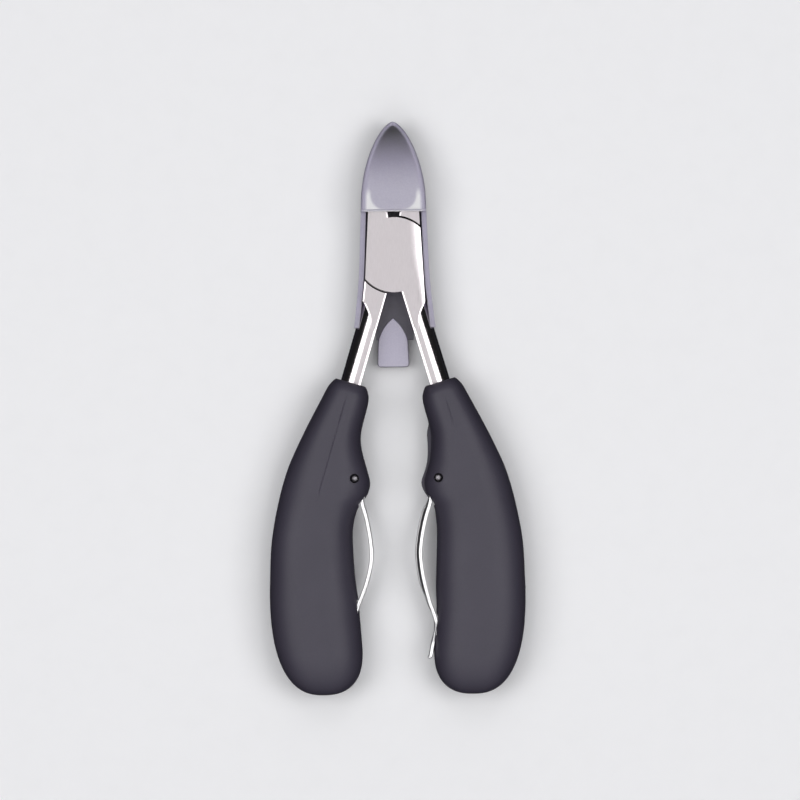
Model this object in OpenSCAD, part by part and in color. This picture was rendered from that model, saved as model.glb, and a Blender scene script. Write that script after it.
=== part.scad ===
// Nail nipper: two forged steel halves crossing in a lap joint, moulded grips with
// bowed leaf springs, and a push-on cap over the jaws.
// It lies on the backs of its grips, open, with the jaws towards +Y.
// Working frame of the modules: pivot at the origin, mid-plane of the joint at z = 0,
// and positions below the pivot given as a distance down the handles, towards -Y.

/* [Joint] */
// Radius of the lap recess around the pivot
lap_r = 9.6; // [9:0.1:9.8]
// Gap between a joint plate and the step of the other half
lap_gap = 0.27; // [0.15:0.01:0.5]
// Thickness of the joint over both plates
joint_t = 5.4; // [4.8:0.1:6.4]
// Running gap between the two joint plates
plate_gap = 0.1; // [0.06:0.01:0.2]
// Half-width of the joint at the level of the pivot
joint_half_w = 6.82; // [6.4:0.02:7]
// Spread of the joint's sides, per millimetre down the handles
joint_spread = 0.0545; // [0.03:0.0005:0.07]
// Width of the bevel along the joint's edge above its shank
side_bevel_w = 0.9; // [0.5:0.1:1.4]
// Depth of that bevel
side_bevel_depth = 0.3; // [0.1:0.05:0.6]
// Angle through which the handles close from the open rest
close_angle = 9.4; // [7:0.1:9.5]

/* [Pivot screw] */
// Diameter of the screw's bearing
screw_bearing_d = 4.6; // [4:0.1:6]
// Diameter of the threaded end
screw_thread_d = 3.4; // [2.5:0.1:4]
// Diameter of the flush head
screw_head_d = 8; // [7:0.1:9]
// Thickness of the head
screw_head_t = 1.2; // [0.8:0.1:1.6]
// Length of thread in the front plate
screw_thread_l = 1.9; // [1.2:0.1:2.1]
// Width of the driver slot
screw_slot_w = 1; // [0.6:0.1:1.6]
// Depth of the driver slot
screw_slot_depth = 0.6; // [0.3:0.1:0.8]
// Radial clearance of the screw in its holes
screw_clear = 0.04; // [0.02:0.01:0.1]

/* [Jaws] */
// Distance from the pivot to the jaw tips
jaw_reach = 26.3; // [24:0.1:27.5]
// Distance from the pivot to the start of the cutting edges
edge_start = 13; // [12:0.1:15]
// Width of a jaw at its root
jaw_root_w = 5.6; // [5:0.1:5.8]
// Width of a jaw at its tip
jaw_tip_w = 0.5; // [0.3:0.05:1]
// Thickness of a jaw at its tip
jaw_tip_t = 2; // [1.5:0.1:2.4]
// Distance from the pivot to the start of the taper of the jaws and the cap
taper_start = 12; // [11.5:0.1:12.5]
// Distance of each cutting edge from the meeting plane when closed
edge_gap = 0.03; // [0.02:0.01:0.1]
// Depth of the throat behind each cutting edge
throat_depth = 0.75; // [0.5:0.05:1.2]
// Length of the slope from the throat to the cutting edge
throat_run = 1.8; // [1.4:0.1:2.2]
// Thickness of the flat on each cutting edge
edge_land = 0.5; // [0.2:0.1:1]

/* [Shanks and tangs] */
// Diameter of a shank
shank_d = 4.9; // [4.4:0.1:5.1]
// Angle between a shank and the middle line
shank_angle = 16.6; // [15.5:0.1:17.5]
// Sideways distance of the shank's line from the pivot
shank_offset = 1.66; // [1.4:0.02:1.9]
// Rounding of the shank's edges where it leaves the joint
shank_edge_r = 0.3; // [0.2:0.05:0.5]
// Distance down the handles where the broad face of the joint ends
face_end_d = 11.5; // [11:0.1:12.5]
// Distance down the handles where the narrow ground strip of the shank starts
strip_start_d = 14.4; // [13.5:0.1:16]
// Width of the ground strip, carried back to the joint
strip_w = 3.1; // [2.4:0.1:3.6]
// Diameter of the tang inside the grip
tang_d = 4.4; // [3.6:0.1:4.6]
// Distance down the handles to the end of the tang
tang_end_d = 60; // [56:0.5:64]

/* [Grips] */
// Distance down the handles to the collar face
collar_d = 31; // [30.5:0.1:32]
// Width of the lip that the collar shows around the shank
collar_lip = 0.9; // [0.6:0.1:1.4]
// Rounding of the grip behind the collar face
collar_round = 2.6; // [2:0.1:3.5]
// Depth of the shank's seat in the collar
shank_seat_l = 2; // [1.5:0.1:2.2]
// Length of the straight neck below the collar
neck_l = 3.2; // [2.6:0.1:4]
// Narrowing of the neck's outer edge towards the collar
neck_flare = 1.8; // [1:0.1:2.4]
// Half-gap between the grips just below the collar
neck_in = 6.6; // [6.2:0.1:7]
// Half-width over the grips just below the collar
neck_out = 17; // [16:0.1:18]
// Distance down to the upper hollow of the inner edge
waist_d = 44.2; // [43:0.1:46]
// Half-gap between the grips at the upper hollow
waist_in = 8.6; // [8.2:0.1:9]
// Distance down to the thumb bump
bump_d = 55.2; // [54.5:0.1:56]
// Half-gap between the grips at the thumb bump
bump_in = 6.45; // [6.2:0.05:7]
// Distance down to the hollow behind the spring
hollow_d = 69.5; // [67:0.5:72]
// Half-gap between the grips at the hollow behind the spring
hollow_in = 10.35; // [10:0.05:11]
// Distance down to the heel, where the inner edge starts to round off
heel_d = 96.5; // [94:0.5:98]
// Half-gap between the grips at the heel
heel_in = 8.7; // [8.5:0.1:9.5]
// Distance down to the shoulder of the outer edge
shoulder_d = 50.5; // [48:0.5:52]
// Half-width over the grips at the shoulder
shoulder_out = 25.7; // [24.5:0.1:27]
// Distance down to the widest point
belly_d = 81.5; // [78:0.5:85]
// Half-width over the grips at the widest point
belly_out = 31.2; // [30:0.1:33]
// Distance down to the rounded lower end
grip_end_d = 107.3; // [105.5:0.1:110]
// Sideways position of the lower end's lowest point
grip_end_x = 18.3; // [17:0.1:20]
// Thickness of a grip at the neck, over both shells
neck_t = 14.2; // [14:0.1:14.6]
// Thickness of a grip at the belly, over both shells
belly_t = 14.6; // [14:0.1:16]
// Drop of the grip's faces towards its two ends
face_drop = 0.4; // [0.2:0.05:0.6]
// Depth of the flat ground on the back of each grip to rest on
rest_flat = 0.5; // [0.3:0.05:0.6]
// Wall of the grip shells
shell_wall = 3.2; // [2.6:0.1:3.6]
// Clearance of the tang in its seats
tang_clear = 0.06; // [0.04:0.01:0.12]
// Length of each of the two seats of the tang
tang_seat_l = 3; // [2:0.1:4]
// Wall of a seat beside the tang
tang_seat_wall = 1.2; // [0.8:0.1:1.6]

/* [Springs] */
// Thickness of the spring leaf
leaf_t = 0.8; // [0.6:0.05:0.9]
// Width of the spring leaf
leaf_w = 4.6; // [4:0.1:5]
// Distance of the left spring's crown from the middle line
crown_in_x = 6.25; // [5.9:0.05:6.6]
// Distance of the right spring's crown from the middle line
crown_out_x = 5.65; // [5.4:0.05:6.2]
// Power of the bow's curve: 2 is a parabola, less is straighter towards the ends
bow_power = 1.65; // [1.4:0.05:2.2]
// Distance down to the crown of the bow
crown_d = 73; // [71:0.1:75]
// Distance down to the place where the leaf leaves the grip
spring_exit_d = 60.1; // [59.6:0.1:61]
// Distance down to the place where the left bow meets its grip again
seat_in_d = 86; // [85:0.1:87]
// Distance down to the place where the right bow meets its grip again
seat_out_d = 89; // [88:0.1:89.5]
// Distance down to the end of the left spring's tail, inside its slot
tail_in_d = 92; // [91:0.1:93.5]
// Distance down to the end of the right spring's tail, outside its slot
tail_out_d = 97.8; // [97:0.1:99]
// Depth of the left spring's tail in its slot
tail_in_depth = 2.2; // [1.8:0.1:2.4]
// Run-out of the right bow into its straight tail
tail_blend = 1.5; // [1:0.1:2]
// Gap between the right spring's tail and the heel of its grip
tail_clear = 0.4; // [0.3:0.05:0.5]
// Depth of the tail slot behind the hollow of the grip
tail_slot_depth = 3; // [2.8:0.1:3.2]
// Length of the tail slot above the place where the bow meets its grip
tail_slot_lead = 3.5; // [3:0.1:4]
// Diameter of the roll at the end of the right spring's tail
tail_roll_d = 1.15; // [1:0.05:1.3]
// Clearance of the leaf in its slots
slot_clear = 0.3; // [0.2:0.05:0.4]
// Diameter of the spring pins
pin_d = 1.6; // [1.2:0.1:1.8]
// Diameter of the hole that shows over each pin
pin_hole_d = 2.2; // [2:0.1:2.6]
// Depth of the pin's end below the grip's face
pin_recess = 1; // [0.6:0.1:1.4]
// Distance of each pin from the inner edge of its grip
pin_inset = 3.75; // [3.5:0.05:4.2]
// Distance down to the spring pins
pin_at_d = 54.3; // [54:0.1:55]
// Radial clearance of the pins in the springs and the grips
pin_clear = 0.03; // [0.02:0.01:0.06]

/* [Jaw cap] */
// Wall of the cap's sides
cap_wall = 1.25; // [1:0.05:1.3]
// Wall of the cap's front and back
cap_skin = 1; // [0.8:0.05:1.3]
// Clearance of the cap in front of and behind the steel
cap_clear = 0.3; // [0.2:0.05:0.5]
// Distance from the pivot to the cap's tip
cap_reach = 32.4; // [31.8:0.1:34]
// Half-width of the cap where its point starts
cap_half_w = 7.9; // [7.8:0.05:8.3]
// Distance from the pivot to the start of the cap's point
cap_point_start = 13; // [12:0.1:14]
// Distance from the pivot to the lower edge of the cap's front wall
cap_front_edge = 10.7; // [10.2:0.1:11.5]
// Distance down the handles to the lower ends of the flanges
flange_end_d = 17.7; // [16.5:0.1:18.5]
// Half-width of the cap at the lower ends of the flanges
flange_end_half_w = 10.55; // [10.4:0.05:11]
// Wall of the flanges at their lower ends
flange_end_wall = 0.8; // [0.6:0.05:0.85]
// Height of the flanges' front edges above the joint's mid-plane
flange_top = 1.5; // [0.5:0.1:2]
// Thickness of the cap at its tip
cap_tip_t = 4; // [3.6:0.1:5]
// Half-width of the panel between the shanks
apron_half_w = 4.6; // [4.3:0.1:5]
// Distance down the handles to the panel's edge between the shanks
apron_end_d = 20.7; // [19:0.1:22]
// Distance down the handles to the tongue's pointed top
tongue_top_d = 15.1; // [14:0.1:16]
// Distance down the handles to the tongue's lower end
tongue_end_d = 27.4; // [26:0.1:29]
// Half-width of the tongue at its lower end
tongue_half_w = 3.9; // [3.4:0.1:4.2]
// Thickness of the tongue
tongue_t = 2.4; // [1.8:0.1:2.8]
// Narrowing of the tongue towards the panel
tongue_taper = 0.5; // [0.2:0.1:0.8]
// Radius of the tongue's lower corners
tongue_corner_r = 1.2; // [0.8:0.1:1.6]

/* [Hidden] */
$fn = 64;
steel = "#c9c5c8";
spring_steel = "#e4e4e6";
soft_black = "#3c3a42";
frosted = "#b4afc0";
eps = 0.01;
far = 200;
half_joint_t = joint_t / 2;
ground_z = half_joint_t - 2 * eps;
closed_play = 0.1;
half_open = (close_angle + closed_play) / 2;
past_tip = jaw_reach + jaw_tip_t / 2;
shank_r = shank_d / 2;
tang_r = tang_d / 2;
lean = tan(shank_angle);
shank_half_w = shank_r / cos(shank_angle);
seam_inset = 0.06 * shank_r;
pin_x = bump_in + pin_inset;
eye_r = pin_d / 2 + pin_clear + leaf_t;
slot_half_z = leaf_w / 2 + slot_clear;
rest_z = belly_t / 2 - rest_flat;
end_trim = 0.12;
grip_bottom_d = grip_end_d - end_trim;
length_mid = (cap_reach - grip_bottom_d) / 2;

// Smooth curve through [position, value] pairs
function pair_at(t, p, i = 0) = i >= len(t) - 2 || p < t[i + 1][0] ? i : pair_at(t, p, i + 1);
function rise(t, a, b) = (t[b][1] - t[a][1]) / (t[b][0] - t[a][0]);
function slope(t, i) = rise(t, max(i - 1, 0), min(i + 1, len(t) - 1));
function along(t, p) =
    let (i = pair_at(t, p), h = t[i + 1][0] - t[i][0], u = (p - t[i][0]) / h)
    (2 * u ^ 3 - 3 * u ^ 2 + 1) * t[i][1] + (u ^ 3 - 2 * u ^ 2 + u) * slope(t, i) * h
    + (3 * u ^ 2 - 2 * u ^ 3) * t[i + 1][1] + (u ^ 3 - u ^ 2) * slope(t, i + 1) * h;
function mix(a, b, f) = a + (b - a) * f;
function bound(v) = max(0, min(1, v));
function signed_pow(v, e) = sign(v) * abs(v) ^ e;

// Closed solid over rings of points, each ring in order around the solid
module loft(rings) {
    n = len(rings[0]);
    last = len(rings) - 1;
    points = [for (ring = rings) each ring];
    sides = [for (i = [0 : last - 1], k = [0 : n - 1])
        let (a = i * n + k, b = i * n + (k + 1) % n)
        each [[a, b, b + n], [a, b + n, a + n]]];
    ends = [[for (k = [n - 1 : -1 : 0]) k], [for (k = [0 : n - 1]) last * n + k]];
    polyhedron(points, concat(ends, sides), convexity = 6);
}

// Line of a shank and its tang, as sideways distance at a distance down the handles
function shank_x(d) = shank_offset + lean * d;
function joint_side(y) = joint_half_w - joint_spread * y;

// Sides of the joint, straight and slightly spread
module joint_blank(top, bottom, margin = 0) {
    top_x = joint_side(top) + margin;
    bottom_x = joint_side(bottom) + margin;
    polygon([[top_x, top], [bottom_x, bottom], [-bottom_x, bottom], [-top_x, top]]);
}

// Plan of the joint in one half: its own plate, jaw root and shank root
module joint_plan(swing) {
    jaw_root = edge_start - throat_run;
    shank_root = lap_r + shank_r;
    root_top = lap_r / 2;
    root_half_w = shank_half_w - seam_inset;
    past_side = 2 * lap_r;
    mouth_x = jaw_root * sin(half_open) + throat_depth;
    intersection() {
        joint_blank(jaw_root, -shank_root);
        union() {
            intersection() {
                circle(r = lap_r - lap_gap);
                rotate(swing) joint_blank(far / 10, -far / 10, eps);
            }
            polygon([[shank_x(root_top) - root_half_w, -root_top],
                [shank_x(shank_root) - root_half_w, -shank_root],
                [past_side, -shank_root], [past_side, -root_top]]);
            polygon([[-throat_depth, root_top], [-mouth_x, jaw_root],
                [-past_side, jaw_root], [-past_side, root_top]]);
        }
    }
}

// Section of a shank: a ground strip on each face, set to the inner side, that narrows
// down the handles until the shank is round
function shank_part(d) = bound((d - lap_r) / (collar_d - lap_r));
function inner_round(d) = mix(shank_edge_r, shank_half_w - eps, shank_part(d) ^ 4);
function broad_face(d) =
    let (u = bound((strip_start_d - d) / (strip_start_d - face_end_d))) u * u * (3 - 2 * u);
function strip(d) =
    let (narrow = max(2 * eps, strip_w * (1 - shank_part(d)) ^ 0.8))
    mix(narrow, 2 * (shank_half_w - shank_edge_r), broad_face(d));
function outer_round(d) = 2 * shank_half_w - inner_round(d) - strip(d);
function shank_ring(d) =
    let (half_h = mix(ground_z, shank_r, shank_part(d)), arc = [for (a = [0 : 15 : 90]) a],
        in_r = inner_round(d), out_r = outer_round(d), in_x = in_r - shank_half_w,
        out_x = shank_half_w - out_r, in_h = min(in_r, half_h - eps), out_h = min(out_r, half_h - eps),
        top = concat([for (a = arc) [out_x + out_r * cos(a), half_h - out_h * (1 - sin(a))]],
            [for (a = arc) [in_x - in_r * sin(a), half_h - in_h * (1 - cos(a))]]),
        section = concat(top, [for (i = [len(top) - 1 : -1 : 0]) [top[i][0], -top[i][1]]]))
    [for (i = [len(section) - 1 : -1 : 0]) [shank_x(d) + section[i][0], -d, section[i][1]]];

module shank() {
    count = 24;
    start = lap_r + lap_gap;
    step = (collar_d + shank_seat_l - start) / count;
    loft([for (i = [0 : count]) shank_ring(start + step * i)]);
}

// Straight round rod along the tang's line, between two distances down the handles
module tang_rod(r, from_d, to_d) {
    translate([shank_x(from_d), -from_d, 0])
        rotate([90, 0, shank_angle])
            cylinder(r = r, h = (to_d - from_d) / cos(shank_angle));
}

// Left jaw, drawn closed against the meeting plane
module jaw() {
    root = lap_r * 2 / 3;
    count = 12;
    curve_power = 1.6;
    side = [for (i = [0 : count])
        let (u = i / count)
        [-mix(jaw_root_w, jaw_tip_w, u ^ curve_power), mix(lap_r, jaw_reach, u)]];
    plan = concat([[-edge_gap, jaw_reach], [-edge_gap, edge_start],
        [-throat_depth, edge_start - throat_run], [-throat_depth, root], [-jaw_root_w, root]], side);
    profile = [[0, ground_z], [taper_start, ground_z], [past_tip, jaw_tip_t / 2],
        [past_tip, -jaw_tip_t / 2], [taper_start, -ground_z], [0, -ground_z]];
    difference() {
        intersection() {
            translate([0, 0, -joint_t]) linear_extrude(2 * joint_t) polygon(plan);
            rotate([90, 0, -90]) mirror([1, 0, 0])
                translate([0, 0, -eps]) linear_extrude(lap_r * 2) polygon(profile);
        }
        for (face = [0, 1]) mirror([0, 0, face]) jaw_bevel();
    }
}

// Ground bevel that leaves a narrow land on the cutting edge
module jaw_bevel() {
    translate([0, past_tip, 0])
        rotate([90, 0, 0])
            linear_extrude(past_tip - edge_start)
                polygon([[-edge_gap, edge_land / 2], [edge_land, edge_land / 2], [edge_land, joint_t],
                    [-jaw_root_w / 2, joint_t]]);
}

// Shallow bevel along the edge of the joint's front face, on the side of the shank
module side_bevel_cut() {
    w = side_bevel_w;
    depth = side_bevel_depth;
    translate([joint_half_w, 0, half_joint_t])
        rotate([90, 0, atan(joint_spread)])
            translate([0, 0, -2 * lap_r])
                linear_extrude(4 * lap_r)
                    polygon([[-w, 0], [w, -2 * depth], [w, depth], [-w, depth]]);
}

// Round space behind a plate in which the other plate turns
module lap_recess() {
    translate([0, 0, plate_gap / 2 - far]) cylinder(r = lap_r, h = far);
}

// Joint plate with its jaw and the root of its shank
module joint_body(swing) {
    difference() {
        union() {
            translate([0, 0, -half_joint_t]) linear_extrude(joint_t) joint_plan(swing);
            rotate(half_open) jaw();
        }
        lap_recess();
        side_bevel_cut();
    }
}

// One forged half: left jaw, front plate, right shank and tang
module forged_half(swing) {
    joint_body(swing);
    shank();
    tang_rod(tang_r, collar_d, tang_end_d);
}

module front_half() {
    color(steel) difference() {
        forged_half(0);
        translate([0, 0, -eps])
            cylinder(d = screw_thread_d + 2 * screw_clear,
                h = screw_thread_l + plate_gap / 2 + screw_clear);
    }
}

module rear_half() {
    color(steel) difference() {
        rotate([0, 180, 0]) forged_half(close_angle);
        translate([0, 0, -joint_t]) cylinder(d = screw_bearing_d + 2 * screw_clear, h = joint_t);
        translate([0, 0, -joint_t]) cylinder(d = screw_head_d + 2 * screw_clear,
            h = half_joint_t + screw_head_t + screw_clear);
    }
}

module pivot_screw() {
    bottom = -half_joint_t;
    color(steel) difference() {
        union() {
            translate([0, 0, bottom]) cylinder(d = screw_head_d, h = screw_head_t);
            translate([0, 0, bottom]) cylinder(d = screw_bearing_d, h = half_joint_t + plate_gap / 2);
            translate([0, 0, bottom])
                cylinder(d = screw_thread_d, h = half_joint_t + plate_gap / 2 + screw_thread_l);
        }
        translate([-screw_head_d, -screw_slot_w / 2, bottom - screw_slot_depth])
            cube([2 * screw_head_d, screw_slot_w, 2 * screw_slot_depth]);
    }
}

// Edges of a grip in plan, as sideways distance at a distance down the handles
function below_bump(down, out) = [mix(bump_d, hollow_d, down), mix(bump_in, hollow_in, out)];
function below_shoulder(down, out) =
    [mix(shoulder_d, belly_d, down), mix(shoulder_out, belly_out, out)];
inner_edge = [[collar_d, neck_in], [collar_d + neck_l, neck_in], [waist_d, waist_in],
    below_bump(0, 0), below_bump(0.15, 0.09), below_bump(0.475, 0.77), below_bump(1, 1),
    [heel_d, heel_in]];
outer_edge = [[collar_d, neck_out - neck_flare], [collar_d + neck_l, neck_out],
    below_shoulder(0, 0), below_shoulder(0.22, 0.45), below_shoulder(0.61, 0.885),
    below_shoulder(1, 1)];
half_thickness = [[collar_d, neck_t / 2 - face_drop], [collar_d + 2 * collar_round, neck_t / 2],
    [mix(bump_d, hollow_d, 0.44), belly_t / 2], [mix(belly_d, heel_d, 0.2), belly_t / 2],
    [heel_d, belly_t / 2 - face_drop]];
end_power = 2.5;
function fade_out(d, from_d) =
    (1 - bound((d - from_d) / (grip_end_d - from_d)) ^ end_power) ^ (1 / end_power);
function grip_in(d) =
    d < heel_d ? along(inner_edge, d) : mix(grip_end_x, heel_in, fade_out(d, heel_d));
function grip_out(d) =
    d < belly_d ? along(outer_edge, d) : mix(grip_end_x, belly_out, fade_out(d, belly_d));
function grip_half_t(d) =
    along(half_thickness, min(d, heel_d)) * fade_out(d, mix(belly_d, heel_d, 0.87));

// Quarter-round swelling from the collar's lip to the full grip
function swell(d) = sqrt(1 - (1 - bound((d - collar_d) / collar_round)) ^ 2);
function tilt(d) = lean * bound((bump_d - d) / (bump_d - collar_d));
function half_ring(d, x_low, x_high, half_t, count) =
    [for (k = [0 : count])
        let (a = 180 * k / count, x = mix(x_low, x_high, (1 - signed_pow(cos(a), 2 / 3)) / 2))
        [x, -d + tilt(d) * (x - shank_x(d)), half_t * sin(a)]];
function grip_ring(d) =
    let (lip = shank_r + collar_lip)
    half_ring(d, mix(shank_x(d) - lip, grip_in(d), swell(d)), mix(shank_x(d) + lip, grip_out(d), swell(d)),
        mix(lip, grip_half_t(d), swell(d)), 10);
function deeper(p) = [p[0], p[1], -shell_wall / 3];
function cavity_ring(d) =
    let (ring = half_ring(d, grip_in(d) + shell_wall, grip_out(d) - shell_wall,
        grip_half_t(d) - shell_wall, 8))
    concat([deeper(ring[0])], ring, [deeper(ring[len(ring) - 1])]);

// Positions of the rings, closer together at the two ends of the grip
ring_count = 54;
grip_span = grip_bottom_d - collar_d;
function ring_d(i) =
    let (u = i / ring_count)
    collar_d + grip_span * (u - 0.6 * sin(360 * u) / (2 * PI));

// Right grip's front half, hollow, with seats for the tang
module grip_half() {
    cavity_start = collar_d + 1.1 * shell_wall;
    cavity_end = grip_end_d - 1.25 * shell_wall;
    cavity_count = 26;
    difference() {
        loft([for (i = [0 : ring_count]) grip_ring(ring_d(i))]);
        loft([for (i = [0 : cavity_count])
            cavity_ring(mix(cavity_start, cavity_end, i / cavity_count))]);
    }
    for (d = [collar_d + 3 * tang_seat_l, tang_end_d - 2 * tang_seat_l]) tang_seat(d);
}

module tang_seat(d) {
    half_w = tang_r + tang_seat_wall;
    translate([shank_x(d), -d, 0])
        rotate(shank_angle)
            translate([-half_w, -tang_seat_l / 2, 0])
                cube([2 * half_w, tang_seat_l, grip_half_t(d) - 0.9 * shell_wall]);
}

// Everything that is cut through both shells of the right grip
module grip_cuts() {
    tail_slot_top = seat_in_d - tail_slot_lead;
    tang_rod(shank_r + tang_clear, collar_d - shank_r, collar_d + shank_seat_l + shank_r / 2);
    tang_rod(tang_r + tang_clear, collar_d, tang_end_d + tang_r / 2);
    translate([pin_x, -pin_at_d, -far / 2]) cylinder(d = pin_d + 2 * pin_clear, h = far);
    for (face = [0, 1]) mirror([0, 0, face])
        translate([pin_x, -pin_at_d, pin_half_l]) cylinder(d = pin_hole_d, h = belly_t);
    translate([0, 0, -slot_half_z]) linear_extrude(2 * slot_half_z) {
        translate([pin_x, -pin_at_d]) circle(r = eye_r + slot_clear);
        ribbon(spring_line(crown_in_x, seat_in_d), pin_at_d, spring_exit_d + tail_slot_lead,
            leaf_t / 2 + slot_clear);
        translate([heel_in - tail_slot_depth, -tail_out_d])
            square([hollow_in - heel_in + 2 * tail_slot_depth, tail_out_d - tail_slot_top]);
    }
}

module right_front_shell() {
    difference() {
        grip_half();
        grip_cuts();
    }
}

module right_back_shell() {
    difference() {
        mirror([0, 0, 1]) grip_half();
        grip_cuts();
        translate([0, -far, -rest_z - belly_t]) cube([far, far, belly_t]);
    }
}

module right_grip_front_shell() {
    color(soft_black) right_front_shell();
}

module right_grip_back_shell() {
    color(soft_black) right_back_shell();
}

module left_grip_front_shell() {
    color(soft_black) mirror([1, 0, 0]) right_front_shell();
}

module left_grip_back_shell() {
    color(soft_black) mirror([1, 0, 0]) right_back_shell();
}

// Middle line of a spring: straight from the eye to the grip's edge, then a bow to its seat
eye_overlap = leaf_t / 10;
function bow(crown_x, seat_d) = [for (u = [-1 : 0.25 : 1])
    let (end_d = u < 0 ? spring_exit_d : seat_d)
    [mix(crown_d, end_d, abs(u)), mix(crown_x, grip_in(end_d), abs(u) ^ bow_power)]];
function spring_line(crown_x, seat_d) =
    concat([[pin_at_d, pin_x - eye_r + leaf_t / 2 - eye_overlap]], bow(crown_x, seat_d));
tail_x = heel_in - leaf_t / 2 - tail_clear;
tail_out_line = concat(spring_line(crown_out_x, seat_out_d),
    [[seat_out_d + tail_blend, grip_in(seat_out_d)], [tail_out_d, tail_x]]);
tail_in_line = concat(spring_line(crown_in_x, seat_in_d),
    [[tail_in_d, grip_in(seat_in_d) + tail_in_depth]]);

// Flat band of even thickness along a middle line
module ribbon(line, from_d, to_d, half_t) {
    count = 44;
    mids = [for (i = [0 : count]) let (d = mix(from_d, to_d, i / count)) [along(line, d), -d]];
    function normal(i) =
        let (run = mids[min(i + 1, count)] - mids[max(i - 1, 0)]) [-run[1], run[0]] / norm(run);
    polygon(concat([for (i = [0 : count]) mids[i] + half_t * normal(i)],
        [for (i = [count : -1 : 0]) mids[i] - half_t * normal(i)]));
}

module leaf_spring(line, end_d) {
    translate([0, 0, -leaf_w / 2]) {
        linear_extrude(leaf_w) ribbon(line, pin_at_d, end_d, leaf_t / 2);
        translate([pin_x, -pin_at_d, 0]) difference() {
            cylinder(r = eye_r, h = leaf_w);
            translate([0, 0, -eps]) cylinder(d = pin_d + 2 * pin_clear, h = leaf_w + 2 * eps);
        }
    }
}

module right_spring() {
    color(spring_steel) {
        leaf_spring(tail_out_line, tail_out_d);
        translate([tail_x - (tail_roll_d - leaf_t) / 2, -tail_out_d, -leaf_w / 2])
            cylinder(d = tail_roll_d, h = leaf_w);
    }
}

module left_spring() {
    color(spring_steel) mirror([1, 0, 0]) leaf_spring(tail_in_line, tail_in_d);
}

// Height of the grip's face over the pin, less the recess
pin_section = (2 * pin_x - grip_in(pin_at_d) - grip_out(pin_at_d))
    / (grip_out(pin_at_d) - grip_in(pin_at_d));
pin_half_l = grip_half_t(pin_at_d) * sqrt(1 - abs(pin_section) ^ 3) - pin_recess;

module spring_pin() {
    translate([pin_x, -pin_at_d, -pin_half_l]) cylinder(d = pin_d, h = 2 * pin_half_l);
}

module right_spring_pin() {
    color(steel) spring_pin();
}

module left_spring_pin() {
    color(steel) mirror([1, 0, 0]) spring_pin();
}

// Half-width of the cap, or of its hollow with inset, from the flanges up to the point
function flare(f) = mix(flange_end_half_w, cap_half_w, f);
cap_side = [[-flange_end_d, flare(0)], [-0.853 * flange_end_d, flare(0.13)],
    [-0.345 * flange_end_d, flare(0.64)], [0.346 * cap_point_start, flare(0.85)],
    [cap_point_start, flare(1)]];
function point_width(y, half_w, reach) =
    half_w * (1 - bound((y - cap_point_start) / (reach - cap_point_start)) ^ 1.76) ^ 0.625;
function flange_thinning(y) =
    (cap_wall - flange_end_wall) * bound((y + lap_r) / (lap_r - flange_end_d));
function cap_edge(y, inset, reach) =
    y < cap_point_start ? along(cap_side, y) - max(0, inset - flange_thinning(y))
    : point_width(y, cap_half_w - inset, reach);

module cap_plan(inset, reach, low_y) {
    count = 36;
    side = [for (i = [0 : count])
        let (y = mix(low_y, reach, sin(90 * i / count)))
        [cap_edge(y, inset, reach), y]];
    polygon(concat(side, [for (i = [count - 1 : -1 : 0]) [-side[i][0], side[i][1]]]));
}

// Wedge of the cap seen from the side, with its depth at the joint and at the tip
module cap_wedge(root_half_t, tip_half_t, reach, low_y) {
    rotate([90, 0, 90])
        translate([0, 0, -far / 2])
            linear_extrude(far)
                polygon([[low_y, root_half_t], [taper_start, root_half_t], [reach, tip_half_t],
                    [reach, -tip_half_t], [taper_start, -root_half_t], [low_y, -root_half_t]]);
}

module cap_body(inset, reach, low_y, root_half_t, tip_half_t) {
    intersection() {
        translate([0, 0, -far / 2]) linear_extrude(far) cap_plan(inset, reach, low_y);
        cap_wedge(root_half_t, tip_half_t, reach + cap_wall, low_y - cap_wall);
    }
}

// Pointed-arch tongue with a rounded lower end
module tongue_plan() {
    count = 8;
    corner = tongue_corner_r;
    arch = [for (i = [0 : count])
        let (u = i / count)
        [(tongue_half_w - tongue_taper) * sin(90 * u), -mix(tongue_top_d, apron_end_d, u ^ 1.5)]];
    foot = [for (a = [0 : -15 : -90])
        [tongue_half_w - corner + corner * cos(a), -tongue_end_d + corner + corner * sin(a)]];
    right = concat(arch, foot);
    polygon(concat(right, [for (i = [len(right) - 1 : -1 : 1]) [-right[i][0], right[i][1]]]));
}

module jaw_cap() {
    hollow_half_t = half_joint_t + cap_clear;
    outer_half_t = hollow_half_t + cap_skin;
    color(frosted) {
        difference() {
            cap_body(0, cap_reach, -flange_end_d, outer_half_t, cap_tip_t / 2);
            cap_body(cap_wall, cap_reach - 1.5 * cap_wall, -flange_end_d - eps,
                hollow_half_t, cap_tip_t / 2 - 0.7 * cap_skin);
            translate([-far / 2, cap_front_edge - far, flange_top]) cube([far, far, joint_t]);
            translate([-far / 2, -flange_end_d - cap_wall, -hollow_half_t])
                cube([far, cap_wall + eps, far]);
        }
        translate([-apron_half_w, -apron_end_d, -outer_half_t])
            cube([2 * apron_half_w, apron_end_d - flange_end_d + cap_wall, cap_skin]);
        translate([0, 0, -hollow_half_t - tongue_t]) linear_extrude(tongue_t) tongue_plan();
    }
}

// Whole part on its rest: grips on the floor, middle of the length at the origin
module placed() {
    translate([0, -length_mid, rest_z]) children();
}

placed() front_half();
placed() rear_half();
placed() pivot_screw();
placed() left_grip_front_shell();
placed() left_grip_back_shell();
placed() right_grip_front_shell();
placed() right_grip_back_shell();
placed() left_spring();
placed() right_spring();
placed() left_spring_pin();
placed() right_spring_pin();
placed() jaw_cap();
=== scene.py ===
import math
import bmesh
import bpy
from mathutils import Matrix, Vector
from mathutils.geometry import intersect_line_line_2d, intersect_line_sphere_2d


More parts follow.
